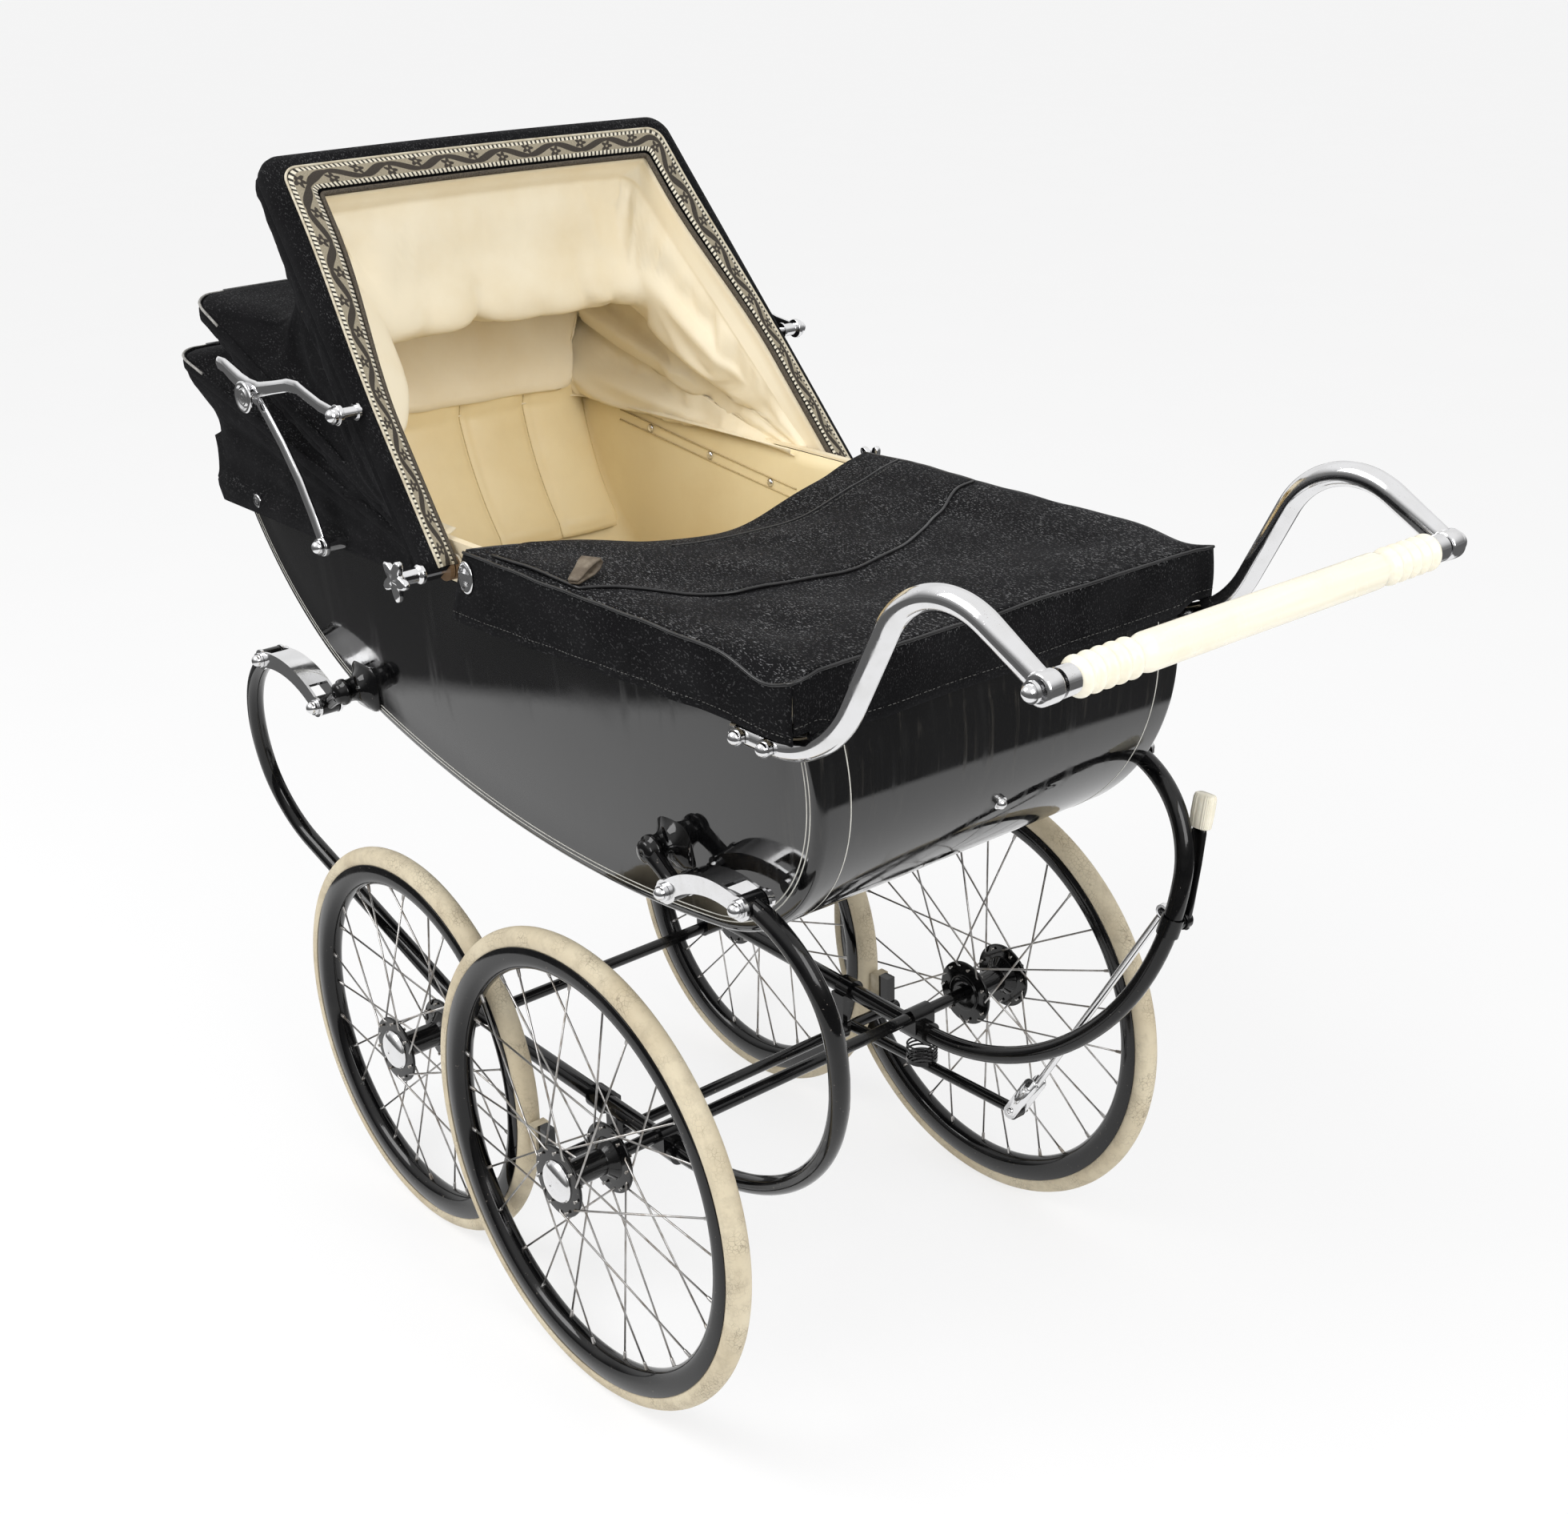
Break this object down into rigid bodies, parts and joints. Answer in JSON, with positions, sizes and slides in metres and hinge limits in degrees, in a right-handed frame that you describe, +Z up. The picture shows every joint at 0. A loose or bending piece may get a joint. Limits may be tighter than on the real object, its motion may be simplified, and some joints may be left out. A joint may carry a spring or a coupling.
{
  "type": "bassinet pram",
  "caption": "Traditional bassinet pram with C-spring chassis, spoked wheels, folding hood, apron, swan-neck handle and hand brake",
  "frame": {"origin": "centre of the bounding box in plan, on the ground", "axes": "+X runs from the hood end to the handle end, +Y to the side of the hand brake, +Z up"},
  "size_m": [1.3348, 0.6512, 1.1955],
  "materials": {
    "black_enamel": "gloss stove enamel",
    "steel": "dull bright steel",
    "chrome": "aged chrome plate",
    "tyre_rubber": "aged pale rubber",
    "black_lacquer": "polished black lacquer",
    "cream_leathercloth": "aged cream leathercloth",
    "board": "plain board",
    "cushion": "cream padded leathercloth",
    "cream_celluloid": "yellowed cream plastic",
    "black_cloth": "black coated cloth",
    "padded_bow": "padded black cloth with woven braid",
    "cream_cloth": "cream lining cloth",
    "brake_rubber": "pale rubber"
  },
  "bodies": {
    "chassis": {"side_frames": "black_enamel", "axles": "steel", "chassis_clamps": "black_enamel", "spring_bolts": "chrome", "brake_spring": "black_enamel"},
    "wheel_hood_left": {"tyre_hood_left": "tyre_rubber", "rim_hood_left": "black_enamel", "spokes_hood_left": "steel", "hub_hood_left": "black_enamel", "hub_cap_hood_left": "chrome"},
    "wheel_hood_right": {"tyre_hood_right": "tyre_rubber", "rim_hood_right": "black_enamel", "spokes_hood_right": "steel", "hub_hood_right": "black_enamel", "hub_cap_hood_right": "chrome"},
    "wheel_handle_left": {"tyre_handle_left": "tyre_rubber", "rim_handle_left": "black_enamel", "spokes_handle_left": "steel", "hub_handle_left": "black_enamel", "hub_cap_handle_left": "chrome"},
    "wheel_handle_right": {"tyre_handle_right": "tyre_rubber", "rim_handle_right": "black_enamel", "spokes_handle_right": "steel", "hub_handle_right": "black_enamel", "hub_cap_handle_right": "chrome"},
    "shackle_hood_left": {"shackle_hood_left": "chrome"},
    "shackle_hood_right": {"shackle_hood_right": "chrome"},
    "shackle_handle_left": {"shackle_handle_left": "chrome"},
    "shackle_handle_right": {"shackle_handle_right": "chrome"},
    "pram_body": {"body_brackets": "black_enamel", "body_shell": "black_lacquer", "rim_trim": "cream_leathercloth", "lining": "cream_leathercloth", "floor_board": "board", "mattress": "cushion", "back_pad": "cushion", "handle_arms": "chrome", "handle_grip": "cream_celluloid", "handle_fittings": "chrome", "body_studs": "chrome", "apron": "black_cloth"},
    "hood_rear": {"hood_rear_bow": "board"},
    "hood_mid": {"hood_mid_bow": "board", "hood_cover": "black_cloth", "hood_lining": "cream_cloth"},
    "hood_front": {"hood_front_bow": "padded_bow", "bow_studs": "chrome"},
    "stay_lower_left": {"stay_lower_left": "chrome"},
    "stay_upper_left": {"stay_upper_left": "chrome"},
    "thumbscrew_left": {"thumbscrew_left": "chrome"},
    "turn_button_left": {"turn_button_left": "chrome"},
    "stay_lower_right": {"stay_lower_right": "chrome"},
    "stay_upper_right": {"stay_upper_right": "chrome"},
    "thumbscrew_right": {"thumbscrew_right": "chrome"},
    "turn_button_right": {"turn_button_right": "chrome"},
    "brake_bar": {"brake_bar": "black_enamel", "brake_shoes": "brake_rubber"},
    "brake_rod": {"brake_rod": "chrome"},
    "brake_lever": {"brake_lever": "black_enamel", "brake_lever_grip": "cream_celluloid"}
  },
  "joints": [
    {"name": "wheel_hood_left", "type": "hinge", "parent": "chassis", "child": "wheel_hood_left", "pos_m": [-0.29032, -0.246, 0.2286], "axis": [0, 1, 0], "continuous": true},
    {"name": "wheel_hood_right", "type": "hinge", "parent": "chassis", "child": "wheel_hood_right", "pos_m": [-0.29032, 0.246, 0.2286], "axis": [0, 1, 0], "continuous": true},
    {"name": "wheel_handle_left", "type": "hinge", "parent": "chassis", "child": "wheel_handle_left", "pos_m": [0.08428, -0.284, 0.254], "axis": [0, 1, 0], "continuous": true},
    {"name": "wheel_handle_right", "type": "hinge", "parent": "chassis", "child": "wheel_handle_right", "pos_m": [0.08428, 0.284, 0.254], "axis": [0, 1, 0], "continuous": true},
    {"name": "body_rock", "type": "hinge", "parent": "chassis", "child": "pram_body", "pos_m": [-0.09054, 0, 0.54051], "axis": [0, 1, 0], "range_deg": [-2, 2], "stiffness_Nm_per_rad": 3000},
    {"name": "shackle_hood_left", "type": "hinge", "parent": "chassis", "child": "shackle_hood_left", "pos_m": [-0.53429, -0.25285, 0.62918], "axis": [0, 1, 0], "range_deg": [-5.36, 5.36]},
    {"name": "shackle_hood_right", "type": "hinge", "parent": "chassis", "child": "shackle_hood_right", "pos_m": [-0.53429, 0.25285, 0.62918], "axis": [0, 1, 0], "range_deg": [-5.36, 5.36]},
    {"name": "shackle_handle_left", "type": "hinge", "parent": "chassis", "child": "shackle_handle_left", "pos_m": [0.32087, -0.25161, 0.62271], "axis": [0, 1, 0], "range_deg": [-5.77, 5.77]},
    {"name": "shackle_handle_right", "type": "hinge", "parent": "chassis", "child": "shackle_handle_right", "pos_m": [0.32087, 0.25161, 0.62271], "axis": [0, 1, 0], "range_deg": [-5.77, 5.77]},
    {"name": "hood_rear", "type": "hinge", "parent": "pram_body", "child": "hood_rear", "pos_m": [-0.13203, 0, 0.826], "axis": [0, -1, 0], "range_deg": [-14.4, 6]},
    {"name": "hood_mid", "type": "hinge", "parent": "hood_rear", "child": "hood_mid", "pos_m": [-0.13203, 0, 0.826], "axis": [0, -1, 0], "range_deg": [-11.52, 4.8]},
    {"name": "hood_fold", "type": "hinge", "parent": "hood_mid", "child": "hood_front", "pos_m": [-0.13203, 0, 0.826], "axis": [0, -1, 0], "range_deg": [-46.08, 19.2], "deforming": ["hood_cover", "hood_lining"]},
    {"name": "stay_lower_left", "type": "hinge", "parent": "pram_body", "child": "stay_lower_left", "pos_m": [-0.31402, -0.288, 0.816], "axis": [0, -1, 0], "range_deg": [-72, 30]},
    {"name": "stay_upper_left", "type": "hinge", "parent": "hood_front", "child": "stay_upper_left", "pos_m": [-0.24233, -0.295, 0.96583], "axis": [0, -1, 0], "range_deg": [-30, 72]},
    {"name": "thumbscrew_left", "type": "hinge", "parent": "pram_body", "child": "thumbscrew_left", "pos_m": [-0.13203, -0.29, 0.826], "axis": [0, 1, 0], "continuous": true},
    {"name": "turn_button_left", "type": "hinge", "parent": "pram_body", "child": "turn_button_left", "pos_m": [-0.07902, -0.264, 0.83], "axis": [0, 1, 0], "range_deg": [0, 90]},
    {"name": "stay_lower_right", "type": "hinge", "parent": "pram_body", "child": "stay_lower_right", "pos_m": [-0.31402, 0.288, 0.816], "axis": [0, -1, 0], "range_deg": [-72, 30]},
    {"name": "stay_upper_right", "type": "hinge", "parent": "hood_front", "child": "stay_upper_right", "pos_m": [-0.24233, 0.295, 0.96583], "axis": [0, -1, 0], "range_deg": [-30, 72]},
    {"name": "thumbscrew_right", "type": "hinge", "parent": "pram_body", "child": "thumbscrew_right", "pos_m": [-0.13203, 0.29, 0.826], "axis": [0, 1, 0], "continuous": true},
    {"name": "turn_button_right", "type": "hinge", "parent": "pram_body", "child": "turn_button_right", "pos_m": [-0.07902, 0.264, 0.83], "axis": [0, 1, 0], "range_deg": [0, 90]},
    {"name": "brake_lever", "type": "hinge", "parent": "chassis", "child": "brake_lever", "pos_m": [0.39928, 0.24194, 0.46722], "axis": [0, 1, 0], "range_deg": [0, 36], "stiffness_Nm_per_rad": 1.5, "springref_deg": -22.92},
    {"name": "brake_bar", "type": "hinge", "parent": "chassis", "child": "brake_bar", "pos_m": [-0.03302, 0, 0.18967], "axis": [0, 1, 0], "range_deg": [-3.18, 0], "deforming": ["brake_spring"]},
    {"name": "brake_rod", "type": "hinge", "parent": "brake_bar", "child": "brake_rod", "pos_m": [0.23197, 0.191, 0.19467], "axis": [0, 1, 0], "range_deg": [0, 4.6]}
  ],
  "couplings": [
    {"joint": "shackle_hood_left", "follows": "body_rock", "ratio": -2.6791},
    {"joint": "shackle_hood_right", "follows": "body_rock", "ratio": -2.6791},
    {"joint": "shackle_handle_left", "follows": "body_rock", "ratio": -2.8846},
    {"joint": "shackle_handle_right", "follows": "body_rock", "ratio": -2.8846},
    {"joint": "hood_rear", "follows": "hood_fold", "ratio": 0.3125},
    {"joint": "hood_mid", "follows": "hood_fold", "ratio": 0.25},
    {"joint": "stay_lower_left", "follows": "hood_fold", "ratio": 1.5625},
    {"joint": "stay_upper_left", "follows": "hood_fold", "ratio": -1.5625},
    {"joint": "stay_lower_right", "follows": "hood_fold", "ratio": 1.5625},
    {"joint": "stay_upper_right", "follows": "hood_fold", "ratio": -1.5625},
    {"joint": "brake_bar", "follows": "brake_lever", "ratio": -0.088333},
    {"joint": "brake_rod", "follows": "brake_lever", "ratio": 0.12791}
  ]
}
